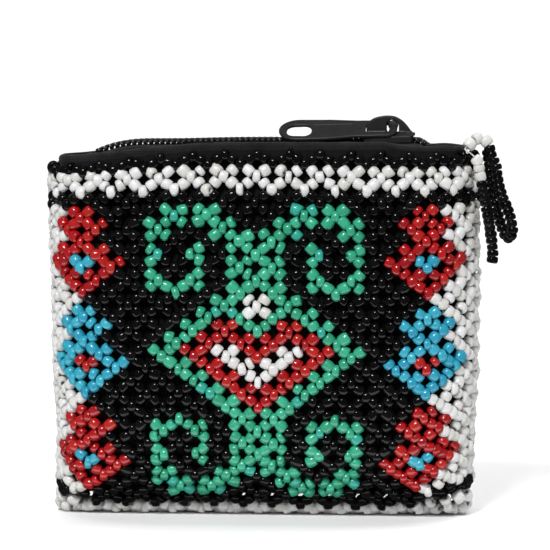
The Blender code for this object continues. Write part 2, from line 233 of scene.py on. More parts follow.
# ---- materials -------------------------------------------------------------
class Paint:
    """A material's node tree, built a node at a time."""

    def __init__(self, name):
        self.mat = bpy.data.materials.new(name)
        self.mat.use_nodes = True
        self.tree = self.mat.node_tree
        self.shader = self.tree.nodes["Principled BSDF"]
        self.place = self.tree.nodes.new("ShaderNodeTexCoord").outputs["Object"]

    def set(self, **values):
        for key, value in values.items():
            self.shader.inputs[key.replace("_", " ")].default_value = value
        return self

    def node(self, kind, **settings):
        made = self.tree.nodes.new(kind)
        for key, value in settings.items():
            setattr(made, key, value)
        return made

    def link(self, out, into):
        self.tree.links.new(out, into)
        return into

    def scaled(self, scale):
        made = self.node("ShaderNodeMapping")
        made.inputs["Scale"].default_value = scale
        self.link(self.place, made.inputs["Vector"])
        return made.outputs["Vector"]

    def noise(self, scale, detail=2.0, rough=0.5, vector=None):
        made = self.node("ShaderNodeTexNoise")
        made.inputs["Scale"].default_value = scale
        made.inputs["Detail"].default_value = detail
        made.inputs["Roughness"].default_value = rough
        self.link(vector or self.place, made.inputs["Vector"])
        return made.outputs["Fac"]

    def wave(self, scale, direction, distortion=0.0, vector=None, detail_scale=1.0):
        made = self.node("ShaderNodeTexWave", wave_type="BANDS", bands_direction=direction)
        made.inputs["Scale"].default_value = scale
        made.inputs["Distortion"].default_value = distortion
        made.inputs["Detail Scale"].default_value = detail_scale
        self.link(vector or self.place, made.inputs["Vector"])
        return made.outputs["Fac"]

    def attribute(self, name):
        return self.node("ShaderNodeAttribute", attribute_name=name).outputs["Fac"]

    def ramp(self, fac, stops, interpolation="LINEAR"):
        made = self.node("ShaderNodeValToRGB")
        made.color_ramp.interpolation = interpolation
        elements = made.color_ramp.elements
        while len(elements) < len(stops):
            elements.new(0.5)
        for element, (where, colour) in zip(elements, stops):
            element.position = where
            element.color = (*colour, 1.0) if len(colour) == 3 else colour
        self.link(fac, made.inputs["Fac"])
        return made.outputs["Color"]

    def math(self, kind, a, b):
        made = self.node("ShaderNodeMath", operation=kind)
        for socket, value in zip(made.inputs, (a, b)):
            if isinstance(value, (int, float)):
                socket.default_value = value
            else:
                self.link(value, socket)
        return made.outputs["Value"]

    def span(self, fac, low, high):
        made = self.node("ShaderNodeMapRange")
        made.inputs["To Min"].default_value = low
        made.inputs["To Max"].default_value = high
        self.link(fac, made.inputs["Value"])
        return made.outputs["Result"]

    def mix(self, kind, fac, a, b):
        made = self.node("ShaderNodeMix", data_type="RGBA", blend_type=kind)
        for socket, value in ((made.inputs[0], fac), (made.inputs[6], a), (made.inputs[7], b)):
            if isinstance(value, (int, float)):
                socket.default_value = value
            elif isinstance(value, tuple):
                socket.default_value = (*value, 1.0)
            else:
                self.link(value, socket)
        return made.outputs[2]

    def bump(self, height, strength, distance):
        made = self.node("ShaderNodeBump")
        made.inputs["Strength"].default_value = strength
        made.inputs["Distance"].default_value = distance
        self.link(height, made.inputs["Height"])
        self.link(made.outputs["Normal"], self.shader.inputs["Normal"])

    def colour(self, socket):
        self.link(socket, self.shader.inputs["Base Color"])

    def roughness(self, socket):
        self.link(socket, self.shader.inputs["Roughness"])


def bead_glass(name, stops, rough, coat, bumpiness=0.10, level=0.5):
    """Opaque glass: each bead has its own shade, with faint streaks and an uneven fire-polished face."""
    paint = Paint(name)
    shade = paint.ramp(paint.attribute("tone"), stops)
    streaks = paint.ramp(paint.noise(900, 3, 0.6), [(0.25, (0.86, 0.86, 0.86)), (0.75, (1.0, 1.0, 1.0))])
    paint.colour(paint.mix("MULTIPLY", 0.75, shade, streaks))
    paint.roughness(paint.span(paint.noise(420, 2, 0.5), *rough))
    paint.bump(paint.noise(1100, 2, 0.5), bumpiness, 0.0001)
    paint.set(Coat_Weight=coat, Coat_Roughness=0.05, Specular_IOR_Level=level)
    return paint.mat


BLACK = bead_glass("glass_black", [(0.0, (0.0016, 0.0016, 0.0018)), (1.0, (0.0040, 0.0040, 0.0044))],
                   (0.06, 0.13), 0.0, level=0.22)
WHITE = bead_glass("glass_white", [(0.0, (0.58, 0.57, 0.54)), (0.5, (0.64, 0.64, 0.63)), (1.0, (0.68, 0.685, 0.69))],
                   (0.26, 0.38), 0.12)
GREEN = bead_glass("glass_green", [(0.0, (0.020, 0.28, 0.155)), (0.45, (0.027, 0.335, 0.192)),
                                   (0.95, (0.037, 0.38, 0.228)), (0.96, (0.024, 0.335, 0.25)), (1.0, (0.024, 0.335, 0.25))],
                   (0.22, 0.34), 0.15)
RED = bead_glass("glass_red", [(0.0, (0.27, 0.0045, 0.0065)), (0.5, (0.37, 0.005, 0.007)), (1.0, (0.40, 0.016, 0.012))],
                 (0.14, 0.26), 0.25)
BLUE = bead_glass("glass_blue", [(0.0, (0.0165, 0.265, 0.40)), (0.5, (0.0235, 0.32, 0.455)), (1.0, (0.041, 0.375, 0.49))],
                  (0.20, 0.30), 0.2)


def cloth(name, dark, light, scale, rough):
    """Black woven cloth: fine crossing yarns, a slight fuzz and faded high places."""
    paint = Paint(name)
    warp = paint.wave(scale, "X", 1.2, detail_scale=2.0)
    weft = paint.wave(scale, "Z", 1.2, detail_scale=2.0)
    weave = paint.math("MULTIPLY", warp, weft)
    fuzz = paint.noise(2600, 3, 0.7)
    patch = paint.noise(160, 3, 0.6)
    height = paint.math("ADD", weave, paint.math("MULTIPLY", fuzz, 0.6))
    shade = paint.math("ADD", paint.math("MULTIPLY", height, 0.35), paint.math("MULTIPLY", patch, 0.55))
    paint.colour(paint.ramp(shade, [(0.25, dark), (0.85, light)]))
    paint.roughness(paint.span(fuzz, 0.75, 0.95))
    paint.bump(height, 0.6, 0.00016)
    paint.set(Specular_IOR_Level=0.15, Sheen_Weight=0.08, Sheen_Roughness=0.5)
    return paint.mat


LINING = cloth("cloth_lining", (0.0025, 0.0024, 0.0026), (0.012, 0.0115, 0.012), 900, 0.9)
HEM = cloth("cloth_hem", (0.0014, 0.0014, 0.0014), (0.034, 0.0332, 0.0332), 900, 0.9)


def tape_cloth():
    """Zip tape: ribs along the zip with a herringbone between them."""
    paint = Paint("tape_weave")
    ribs = paint.wave(620, "Y", 0.3)
    twill = paint.wave(700, "DIAGONAL", 0.6)
    fuzz = paint.noise(2400, 3, 0.7)
    height = paint.math("ADD", paint.math("MULTIPLY", ribs, 0.6), paint.math("MULTIPLY", twill, 0.5))
    height = paint.math("ADD", height, paint.math("MULTIPLY", fuzz, 0.35))
    paint.colour(paint.ramp(height, [(0.2, (0.0025, 0.0025, 0.0026)), (1.0, (0.015, 0.0148, 0.015))]))
    paint.roughness(paint.span(fuzz, 0.7, 0.92))
    paint.bump(height, 0.5, 0.00012)
    paint.set(Specular_IOR_Level=0.2, Sheen_Weight=0.06, Sheen_Roughness=0.5)
    return paint.mat


TAPE = tape_cloth()


def nylon():
    paint = Paint("coil_nylon")
    grain = paint.noise(1500, 2, 0.5)
    paint.colour(paint.ramp(grain, [(0.3, (0.006, 0.006, 0.006)), (0.8, (0.016, 0.016, 0.016))]))
    paint.roughness(paint.span(grain, 0.28, 0.42))
    paint.bump(grain, 0.15, 0.00005)
    return paint.mat


NYLON = nylon()


def sewing_thread(name, dark, light):
    """Twisted thread: fine slanted plies."""
    paint = Paint(name)
    plies = paint.wave(2600, "DIAGONAL", 0.8)
    paint.colour(paint.ramp(plies, [(0.2, dark), (0.8, light)]))
    paint.roughness(paint.span(paint.noise(3000), 0.55, 0.8))
    paint.bump(plies, 0.3, 0.00004)
    paint.set(Sheen_Weight=0.2)
    return paint.mat


THREAD_BLACK = sewing_thread("thread_black", (0.006, 0.006, 0.006), (0.022, 0.022, 0.022))
THREAD_WHITE = sewing_thread("thread_white", (0.55, 0.55, 0.52), (0.80, 0.80, 0.77))


def painted_zinc():
    """Satin black paint on a casting: fine orange peel, rubbed a little thin on the high places."""
    paint = Paint("painted_zinc")
    peel = paint.noise(1300, 3, 0.55)
    rubs = paint.noise(330, 4, 0.65)
    edge = paint.node("ShaderNodeNewGeometry").outputs["Pointiness"]
    worn = paint.ramp(edge, [(0.50, (0.0, 0.0, 0.0)), (0.60, (1.0, 1.0, 1.0))])
    base = paint.ramp(rubs, [(0.3, (0.0125, 0.0125, 0.0126)), (0.75, (0.0175, 0.0173, 0.0172))])
    paint.colour(paint.mix("MIX", paint.math("MULTIPLY", worn, 0.35), base, (0.040, 0.040, 0.040)))
    paint.roughness(paint.span(rubs, 0.34, 0.48))
    paint.bump(peel, 0.12, 0.00006)
    paint.set(Specular_IOR_Level=0.25)
    return paint.mat


ZINC = painted_zinc()

# ---- bead forms ------------------------------------------------------------
AROUND = 12


def lathe_profile():
    """(radius, height) round a bead's section, both as shares of its own radius and half-length."""
    rows = []
    for t in np.radians([-90, -68, -40, 0, 40, 68, 90]):
        rows.append((0.50 + 0.50 * max(math.cos(t), 0.0) ** 0.48, math.copysign(abs(math.sin(t)) ** 0.92, t)))
    rows.append((0.32, 0.88))
    rows.append((0.32, -0.88))
    return np.array(rows)


LATHE = lathe_profile()


def beads(places):
    """(points, faces, tones) of many beads.

    places holds, for each, its centre, its threading direction, an outward
    direction, radius, half-length, wedge, oval, spin and tone.
    """
    centre = np.array([b[0] for b in places])
    way = np.array([b[1] for b in places])
    out = np.array([b[2] for b in places])
    radius, half, wedge, oval, spin, tone = (np.array([b[k] for b in places]) for k in range(3, 9))
    way /= np.linalg.norm(way, axis=1)[:, None]
    out -= way * (out * way).sum(1)[:, None]
    out /= np.linalg.norm(out, axis=1)[:, None]
    third = np.cross(way, out)
    turn = 2 * math.pi * np.arange(AROUND) / AROUND
    a = turn[None, None, :] + spin[:, None, None]
    rho = LATHE[None, :, 0, None] * radius[:, None, None]
    u = rho * np.cos(a) * (1 + oval[:, None, None])
    v = rho * np.sin(a) * (1 - oval[:, None, None])
    # The hole keeps its place, and the ends slant across the bead.
    w = LATHE[None, :, 1, None] * half[:, None, None] * (1 + wedge[:, None, None] * np.cos(turn)[None, None, :] * LATHE[None, :, 0, None])
    co = (centre[:, None, None, :] + u[..., None] * out[:, None, None, :]
          + v[..., None] * third[:, None, None, :] + w[..., None] * way[:, None, None, :])
    rows = len(LATHE)
    i, j = np.meshgrid(np.arange(rows), np.arange(AROUND), indexing="ij")
    i2, j2 = (i + 1) % rows, (j + 1) % AROUND
    quad = np.stack([i * AROUND + j, i * AROUND + j2, i2 * AROUND + j2, i2 * AROUND + j], -1).reshape(-1, 4)
    size = rows * AROUND
    faces = (quad[None] + (np.arange(len(places)) * size)[:, None, None]).reshape(-1, 4)
    return co.reshape(-1, 3), faces, np.repeat(tone, size)


# ---- the net ---------------------------------------------------------------
COLUMNS = 60
LAST = 28
SHIFT = -1.0              # the pattern sits a little left of the middle
CENTRE_INSET = 1.5


def eased(row):
    """The mouth rows are drawn together where the net is sewn to the hem."""
    return -2 - (-2 - row) * 0.74 if row < -2 else row


def bead_wall(row):
    """(half-depth, height) of the bead centres, with the base's rows laid flat."""
    if row <= 26:
        depth, height = wall(eased(row), CENTRE_INSET)
    else:
        depth, height = np.interp(row, [26, 27, 28], [4.55, 3.15, 1.47]), np.interp(row, [26, 27, 28], [2.7, 1.62, 1.5])
    return depth, max(height, 1.5)


# Hand netting isn't even: stitches are pulled along the row, and rows sag. Each is a
# smooth swell over the face, in millimetres, with (order across, order down): size.
PULL_ALONG = {(0, 0): -0.24, (0, 1): -0.22, (0, 2): -0.43, (0, 3): -0.27, (0, 4): 0.04,
              (1, 0): -0.67, (1, 1): -0.58, (1, 2): 0.64, (1, 3): 0.35,
              (2, 0): -0.51, (2, 1): -0.03, (2, 2): -0.19, (3, 0): -0.56, (3, 1): 0.30, (4, 0): 0.15}
PULL_UP = {(0, 0): 0.05, (0, 1): 0.33, (0, 2): -0.01, (0, 3): 0.05, (0, 4): -0.15,
           (1, 0): 0.19, (1, 1): 0.19, (1, 2): 0.10, (1, 3): -0.09,
           (2, 0): 0.12, (2, 1): 0.06, (2, 2): -0.32, (3, 0): 0.29, (3, 1): 0.15, (4, 0): 0.12}


def swell(terms, u, v):
    t = (1.0, u, 2 * u * u - 1, 4 * u ** 3 - 3 * u, 8 * u ** 4 - 8 * u * u + 1)
    w = (1.0, v, 2 * v * v - 1, 4 * v ** 3 - 3 * v, 8 * v ** 4 - 8 * v * v + 1)
    return sum(size * t[i] * w[j] for (i, j), size in terms.items())


def end_rise(column, row):
    """At the two ends the rows stay straight where those of the faces curve in under the base."""
    a = abs(column) if abs(column) <= 15 else 30 - abs(column)
    size = 3.2 if column > 0 else 4.2
    return size * smooth((a - 9.5) / 5.5) * smooth((row - 14) / 10) * (1 - 0.5 * max(0.0, row - 26))


def fuller(x, z):
    """The cover's ends bulge out a little past the pouch inside it."""
    reach = max(0.0, abs(x) - 32.0) / 15.0
    if x < 0:
        size = float(np.interp(z, [0, 8, 20, 90], [2.4, 1.5, 0.8, 0.8]))
    else:
        size = float(np.interp(z, [0, 9, 14, 18, 30, 55, 68, 76, 90], [-0.25, -0.2, 0.35, 0.7, 0.8, 1.0, 0.6, 0.15, 0.1]))
    return math.copysign(size * reach * reach, x)


def net_point(column, row, lift=0.0):
    column = (column + COLUMNS / 2) % COLUMNS - COLUMNS / 2
    fade = 1 - smooth((abs(column) - 15) / 6)
    u, v = min(max(0.0727 * column - 0.03, -1), 1), min(max(0.0698 * row - 0.764, -1), 1)
    shift = swell(PULL_ALONG, u, v) * fade
    rise = (swell(PULL_UP, u, v) * fade) * (1 - 0.5 * max(0.0, row - 26)) + end_rise(column, row)
    depth, height = bead_wall(row)
    if rise:
        # slide the bead along the wall
        moved = np.clip(eased(row) - rise / 2.82 / max(0.35, math.cos(math.radians(table(LEAN, row)))), -3.2, 26.0)
        if row <= 26 or moved < 26:
            depth, height = wall(moved, CENTRE_INSET)
            if row > 26:
                flat_depth, flat_height = bead_wall(row)
                blend = min(row - 26, 2) / 2
                depth, height = depth + (flat_depth - depth) * blend, height + (flat_height - height) * blend
        height = max(height, 1.5)
    depth += lift
    half = table(HALF_WIDTH, height) - CENTRE_INSET + lift
    around = 4 * (half - depth) + 2 * math.pi * depth
    x, y = on_stadium(half, depth, SHIFT + shift + column * around / COLUMNS)
    return np.array([x + fuller(x, height), y, height - droop(x, height)])


def outward(column, row):
    across = net_point(column + 0.1, row) - net_point(column - 0.1, row)
    down = net_point(column, min(row + 0.1, LAST)) - net_point(column, row - 0.1)
    n = np.cross(down, across)
    return n / np.linalg.norm(n)


def local(column):
    """The column counted from the nearest face's middle."""
    column = (column + COLUMNS / 2) % COLUMNS - COLUMNS / 2
    return column if abs(column) <= 15 else column - math.copysign(30, column)


SCROLL = [(6, 6.5, 2.5, 7.5), (5.5, 6.5, 2.5, 3.5), (2.5, 5.5, 1.5, 2.5), (1.5, 2.5, 2.5, 3.5),
          (0.5, 1.5, 3.5, 4.5), (0, 1.5, 4.5, 8.5), (3.5, 6.5, 7, 8), (3.5, 4, 4.5, 7.5)]


def stitch_colour(a, r):
    """The colour of the stitch that hangs from vertex (a, r), or None where it has no place in a figure."""
    d = a + abs(r - 13)
    if a <= 2 and r == 15 - a:
        return "white"
    if (a == 1 and r == 10) or (a == 0 and r == 11):
        return "green"
    if (d == 4 and r >= 11) or (a <= 2 and r == 13 - a):
        return "red"
    if d == 6:
        return "green"
    for k, (main, centre) in enumerate((("red", "blue"), ("blue", "red"), ("red", "blue"))):
        if a == 11 and r == 6 + 8 * k:
            return centre
        if abs(a - 11) + abs(r - (3 + 8 * k)) == 1 or abs(a - 11) + abs(r - (6 + 8 * k)) == 2:
            return main
    return None


def colour_of(column, row):
    c = local(column)
    a = abs(c)
    if row < -1.75:
        return "black"
    if row <= 0:
        return "white"
    if a <= 0.5 and abs(row - 9) <= 0.5:
        return "white"
    # a side bead belongs to the vertex below it
    if row == math.floor(row):
        vertex_c, vertex_r = c, row
    else:
        vertex_r = int(row + 0.5)
        vertex_c = c - 0.5 if (int(round(c - 0.5)) + vertex_r) % 2 else c + 0.5
    found = stitch_colour(abs(vertex_c), vertex_r)
    if found and 1.5 <= row <= 25:
        return found
    for low, high, first, last in SCROLL:
        if low <= a <= high and (first <= row <= last or first <= 26 - row <= last):
            return "green"
    if vertex_r <= 1 or vertex_r == 26:
        return "black"
    if row > 26:
        return "white"
    return "white" if a > 11 else "black"


groups = {}


def add_bead(column, row, kind):
    centre = net_point(column, row)
    n = outward(column, row)
    across = net_point(column + 0.25, row) - net_point(column - 0.25, row)
    if kind == "vertex":
        way = across / np.linalg.norm(across)
        radius, half, lift = rng.normal(1.41, 0.06), rng.normal(0.92, 0.10), rng.normal(0.05, 0.12)
    else:
        lower_r = int(row + 0.5)
        left = (int(round(column - 0.5)) + lower_r) % 2 == 1
        low_c, high_c = (column - 0.5, column + 0.5) if left else (column + 0.5, column - 0.5)
        way = net_point(high_c, row - 0.5) - net_point(low_c, row + 0.5)
        way /= np.linalg.norm(way)
        radius, half, lift = rng.normal(1.32, 0.07), rng.normal(1.05, 0.15), rng.normal(-0.06, 0.12)
    radius = float(np.clip(radius, 1.2, 1.52))
    half = float(np.clip(half, 0.72, 1.3))
    lift = float(np.clip(lift, -0.3, 1.5 - radius if row > 24 else 0.12))
    slope = np.cross(n, way)
    lean = rng.normal(0, 0.14, 2)
    way = way + slope * lean[0] * (1.4 if kind == "side" else 0.8) + n * lean[1]
    jitter = rng.normal(0, 0.09, 2)
    centre = centre + slope * jitter[0] + way * jitter[1] * 0.7 + n * lift
    if centre[2] < radius:
        centre[2] = radius
    colour = colour_of(column, row)
    c = (column + COLUMNS / 2) % COLUMNS - COLUMNS / 2
    face = "front" if abs(c) <= 15 else "back"
    place = (centre, way, n, radius, half, float(np.clip(rng.normal(0, 0.13), -0.3, 0.3)),
             rng.normal(0, 0.02), rng.uniform(0, 6.28), rng.uniform())
    groups.setdefault((colour, face), []).append(place)


for row in range(-3, LAST + 1):
    for column in range(-30, 30):
        if (column + row) % 2:
            add_bead(column, row, "vertex")
            if row > -3:
                for side in (-0.5, 0.5):
                    add_bead(column + side, row - 0.5, "side")

GLASS = {"black": BLACK, "white": WHITE, "green": GREEN, "red": RED, "blue": BLUE}
for (colour, face), places in groups.items():
    points, faces, tone = beads(places)
    obj = mesh_object(f"beads_{colour}_{face}", points, faces, GLASS[colour], tones={"tone": tone})
    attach(obj, "purse")
    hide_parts("bead_cover")

# The thread that laces each row to the one above it, through every bead's hole.
laces = []
for row in range(-2, LAST + 1):
    lace = []
    for column in range(-30, 30):
        if (column + row) % 2:
            lace += [net_point(column - 0.5, row - 0.5), net_point(column, row), net_point(column + 0.5, row - 0.5),
                     net_point(column + 1, row - 1)]
    laces.append(tube(lace, 0.13, 4, closed=True))
points, faces = join(laces)
lacing = mesh_object("net_thread", points, faces, THREAD_BLACK)
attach(lacing, "purse")

# ---- fabric pouch ----------------------------------------------------------
def cloth_ring(depth, height, inset, count=150, wrinkle=0.0, phase=0.0):
    half = table(HALF_WIDTH, min(height, 82)) - inset
    around = 4 * (half - depth) + 2 * math.pi * depth
    ring = []
    for i in range(count):
        s = around * i / count
        x, y = on_stadium(half, depth, s)
        out = Vector((x * 0.1, y, 0)).normalized()
        puff = wrinkle * (math.sin(s * 0.55 + phase) * 0.5 + math.sin(s * 1.31 + 2 * phase) * 0.35
                          + math.sin(s * 2.9 + 0.7 * phase) * 0.2)
        z = height - droop(x, height) + 0.35 * wrinkle * math.sin(s * 0.9 + 1.3 + phase)
        if height > 80:
            # the hem sinks a little past the slider
            z -= 0.85 * smooth((x - 26) / 8) * (1 - 0.6 * smooth((x - 37) / 8))
        ring.append((x + out.x * puff + fuller(x, height), y + out.y * puff, z))
    return ring


def pouch():
    """A cloth bag in one skin, up the outside, over a rolled hem and down the inside."""
    rings = []
    rows = np.linspace(25.4, -2.6, 30)
    for k, row in enumerate(rows):
        depth, height = wall(row, 3.12)
        rings.append(cloth_ring(max(depth, 3.0), max(height, 3.05), 3.12, wrinkle=0.05, phase=k * 0.35))
    # the hem: a soft roll above the top row of beads
    hem = [(4.72, 80.6), (4.80, 81.2), (4.74, 81.75), (4.52, 82.15), (4.22, 82.32), (3.92, 82.2),
           (3.76, 81.8), (3.78, 81.2), (3.95, 80.4)]
    for k, (depth, height) in enumerate(hem):
        rings.append(cloth_ring(depth, height, 7.4 - depth, wrinkle=0.11 if height > 81 else 0.06, phase=2.0 + 0.05 * k))
    for k, row in enumerate(np.linspace(-2.4, 24.6, 22)):
        depth, height = wall(row, 3.75)
        rings.append(cloth_ring(max(depth, 2.4), max(height, 3.7), 3.75, wrinkle=0.05, phase=3 + k * 0.35))
    count = len(rings[0])
    points = [p for ring in rings for p in ring]
    faces = []
    for a in range(len(rings) - 1):
        for i in range(count):
            j = (i + 1) % count
            faces.append([a * count + i, (a + 1) * count + i, (a + 1) * count + j, a * count + j])
    # floors, outside and inside, as strips across the narrow base
    for ring, flip in ((0, False), (len(rings) - 1, True)):
        base = ring * count
        face = [base + i for i in range(count)]
        faces.append(face if flip else face[::-1])
    return np.array(points), faces


points, faces = pouch()
bag = mesh_object("pouch_cloth", points, faces, LINING)
bag.data.materials.append(HEM)
heights = np.array([v.co.z + droop(v.co.x / M, 82) * M for v in bag.data.vertices])
for polygon in bag.data.polygons:
    if min(heights[i] for i in polygon.vertices) > 0.0803:
        polygon.material_index = 1
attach(bag, "purse")
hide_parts("fabric_pouch")

# ---- zip tapes -------------------------------------------------------------
def tape(side):
    half = 0.22
    stations = np.linspace(-41.3, 41.8, 140)
    points, rings = [], []
    for x in stations:
        past = max(0.0, abs(x) - 39.5)
        reach = math.sqrt(max(3.7 ** 2 - past * past, 1.2)) - half
        dip = min(chain_drop(x) - 0.1, droop(x, 82) + 2.8)
        fold = min(reach, 3.42)
        low = droop(x, 76)
        ripple = 0.05 * math.sin(x * 0.8 + side) + 0.03 * math.sin(x * 2.1)
        middle = [(0.30, 81.68 - dip), (1.4, 81.70 - dip), (fold - 1.0, 81.72 - dip + ripple),
                  (fold - 0.45, 81.70 - dip + ripple), (fold - 0.12, 81.42 - dip + ripple), (fold, 80.85 - dip),
                  (fold + 0.02, 79.9 - max(dip - 0.6, 0) * 0.9), (fold + 0.3, 77.6 - 0.5 * (dip + low) * 0.8),
                  (fold + 0.8 * (reach > 3), 74.6 - low)]
        above, below = [], []
        for k, (y, z) in enumerate(middle):
            before, after = middle[max(k - 1, 0)], middle[min(k + 1, len(middle) - 1)]
            way = Vector((after[0] - before[0], after[1] - before[1])).normalized()
            out = Vector((-way.y, way.x)) * half
            above.append((x, side * (y + out.x), z + out.y))
            below.append((x, side * (y - out.x), z - out.y))
        ring = above + below[::-1]
        rings.append(len(ring))
        points += ring
    n = rings[0]
    faces = []
    for a in range(len(stations) - 1):
        for i in range(n):
            j = (i + 1) % n
            quad = [a * n + i, (a + 1) * n + i, (a + 1) * n + j, a * n + j]
            faces.append(quad if side < 0 else quad[::-1])
    ends = [list(range(n)), [(len(stations) - 1) * n + i for i in range(n)][::-1]]
    faces += ends if side < 0 else [e[::-1] for e in ends]
    return np.array(points), faces


for label, side in (("front", -1), ("back", 1)):
    points, faces = tape(side)
    obj = mesh_object(f"tape_{label}", points, faces, TAPE, sharp=70)
    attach(obj, "purse")
    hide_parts(f"zip_tape_{label}")

# ---- coil ------------------------------------------------------------------
TOOTH = 1.25
LOOP = [(0.00, 1.66, -0.66), (0.08, 1.25, -0.98), (0.14, 0.85, -1.02), (0.20, 0.58, -0.90),
        (0.27, 0.46, -0.64), (0.34, 0.52, -0.38), (0.42, 0.85, -0.28), (0.56, 1.25, -0.27),
        (0.82, 1.60, -0.34), (1.04, 1.70, -0.48)]


def coil(side, phase):
    """One row of the coil: a monofilament wound in flattened loops with bulging heads."""
    wire, thick = [], []
    count = int((CHAIN_RIGHT - CHAIN_LEFT - 0.8 - phase) / TOOTH)
    for loop in range(count):
        for k, (dx, y, z) in enumerate(LOOP):
            x = CHAIN_LEFT + 0.35 + phase + loop * TOOTH + dx
            wire.append((x, side * y, CHAIN_TOP + z))
            thick.append(0.30 if k in (3, 4, 5) else 0.26)
    wire = np.array(wire)
    smooth_wire = curve_through(np.column_stack([wire, thick]), 0.33)
    dips = np.array([chain_drop(x) for x in smooth_wire[:, 0]])
    smooth_wire[:, 2] -= dips
    return tube(smooth_wire[:, :3], smooth_wire[:, 3], 6)


def stitches(side, y, phase):
    """The row of stitches that holds the coil to its tape."""
    xs = np.arange(CHAIN_LEFT + 0.6 + phase, CHAIN_RIGHT - 0.9, TOOTH / 5)
    line = []
    for x in xs:
        t = 2 * math.pi * (x - CHAIN_LEFT - 0.35 - phase - 0.62) / TOOTH
        line.append((x, side * (y + 0.05 * math.sin(t)), CHAIN_TOP + 0.02 + 0.035 * math.cos(t) - chain_drop(x)))
    return tube(line, 0.085, 5)


for label, side, phase in (("front", -1, 0.0), ("back", 1, TOOTH / 2)):
    points, faces = coil(side, phase)
    obj = mesh_object(f"coil_{label}", points, faces, NYLON)
    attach(obj, "purse")
    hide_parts(f"zip_coil_{label}")
    points, faces = join([stitches(side, 1.05, phase), stitches(side, 1.42, phase)])
    obj = mesh_object(f"coil_stitches_{label}", points, faces, THREAD_BLACK)
    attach(obj, "purse")


# ---- castings, as the level surface of a distance --------------------------
def level_surface(f, low, step):
    """Quads round the zero level of a distance sampled on a grid."""
    inside = f < 0
    nx, ny, nz = f.shape
    corners = [(i, j, k) for i in (0, 1) for j in (0, 1) for k in (0, 1)]
    count = sum(inside[i:nx - 1 + i, j:ny - 1 + j, k:nz - 1 + k].astype(int) for i, j, k in corners)
    active = (count > 0) & (count < 8)
    cells = np.argwhere(active)
    index = -np.ones(active.shape, int)
    index[active] = np.arange(len(cells))
    total, number = np.zeros((len(cells), 3)), np.zeros(len(cells))
    for a in corners:
        for axis in range(3):
            if a[axis]:
                continue
            b = list(a)
            b[axis] = 1
            fa = f[tuple((cells + a).T)]
            fb = f[tuple((cells + b).T)]
            cross = (fa < 0) != (fb < 0)
            t = fa[cross] / (fa[cross] - fb[cross])
            p = np.tile(np.array(a, float), (int(cross.sum()), 1))
            p[:, axis] += t
            total[cross] += p
            number[cross] += 1
    points = (cells + total / number[:, None]) * np.array(step) + np.array(low)
    faces = []
    for axis in range(3):
        u, v = [(1, 2), (2, 0), (0, 1)][axis]
        first = [slice(None)] * 3
        second = [slice(None)] * 3
        first[axis], second[axis] = slice(0, -1), slice(1, None)
        change = inside[tuple(first)] != inside[tuple(second)]
        edges = np.argwhere(change)
        keep = (edges[:, u] > 0) & (edges[:, v] > 0) & (edges[:, u] < f.shape[u] - 1) & (edges[:, v] < f.shape[v] - 1)
        edges = edges[keep]
        start_in = inside[tuple(edges.T)]
        around = []
        for du, dv in ((-1, -1), (0, -1), (0, 0), (-1, 0)):
            cell = edges.copy()
            cell[:, u] += du
            cell[:, v] += dv
            around.append(index[tuple(cell.T)])
        quads = np.stack(around, 1)
        quads[~start_in] = quads[~start_in][:, ::-1]
        faces.append(quads)
    return points, np.concatenate(faces)


def polygon_distance(px, py, outline):
    """Signed distance to a closed outline, negative inside."""
    best = np.full(px.shape, 1e9)
    inside = np.zeros(px.shape, bool)
    pts = np.array(outline, float)
    for (ax, ay), (bx, by) in zip(pts, np.roll(pts, -1, 0)):
        ex, ey = bx - ax, by - ay
        wx, wy = px - ax, py - ay
        t = np.clip((wx * ex + wy * ey) / (ex * ex + ey * ey + 1e-12), 0, 1)
        best = np.minimum(best, np.hypot(wx - ex * t, wy - ey * t))
        crosses = (ay > py) != (by > py)
        with np.errstate(divide="ignore", invalid="ignore"):
            at = ax + (py - ay) * ex / (ey if abs(ey) > 1e-12 else 1e-12)
        inside ^= crosses & (px < at)
    return np.where(inside, -best, best)


def slab(d2, depth, rounding):
    """A flat region of half-thickness depth with rounded edges, from its distance in the plane and |z|."""
    d, z = d2 + rounding, depth + rounding
    return np.hypot(np.maximum(d, 0), np.maximum(z, 0)) + np.minimum(np.maximum(d, z), 0) - rounding


def blend_union(a, b, k):
    h = np.clip(0.5 + 0.5 * (b - a) / k, 0, 1)
    return b + (a - b) * h - k * h * (1 - h)


def grid(low, high, step):
    axes = [np.arange(l, h + step, step) for l, h in zip(low, high)]
    return np.meshgrid(*axes, indexing="ij")


def rounded_box(x, y, z, middle, half, rounding):
    q = [np.abs(c - m) - h + rounding for c, m, h in zip((x, y, z), middle, half)]
    return (np.sqrt(sum(np.maximum(c, 0) ** 2 for c in q)) + np.minimum(np.maximum.reduce(q), 0) - rounding)


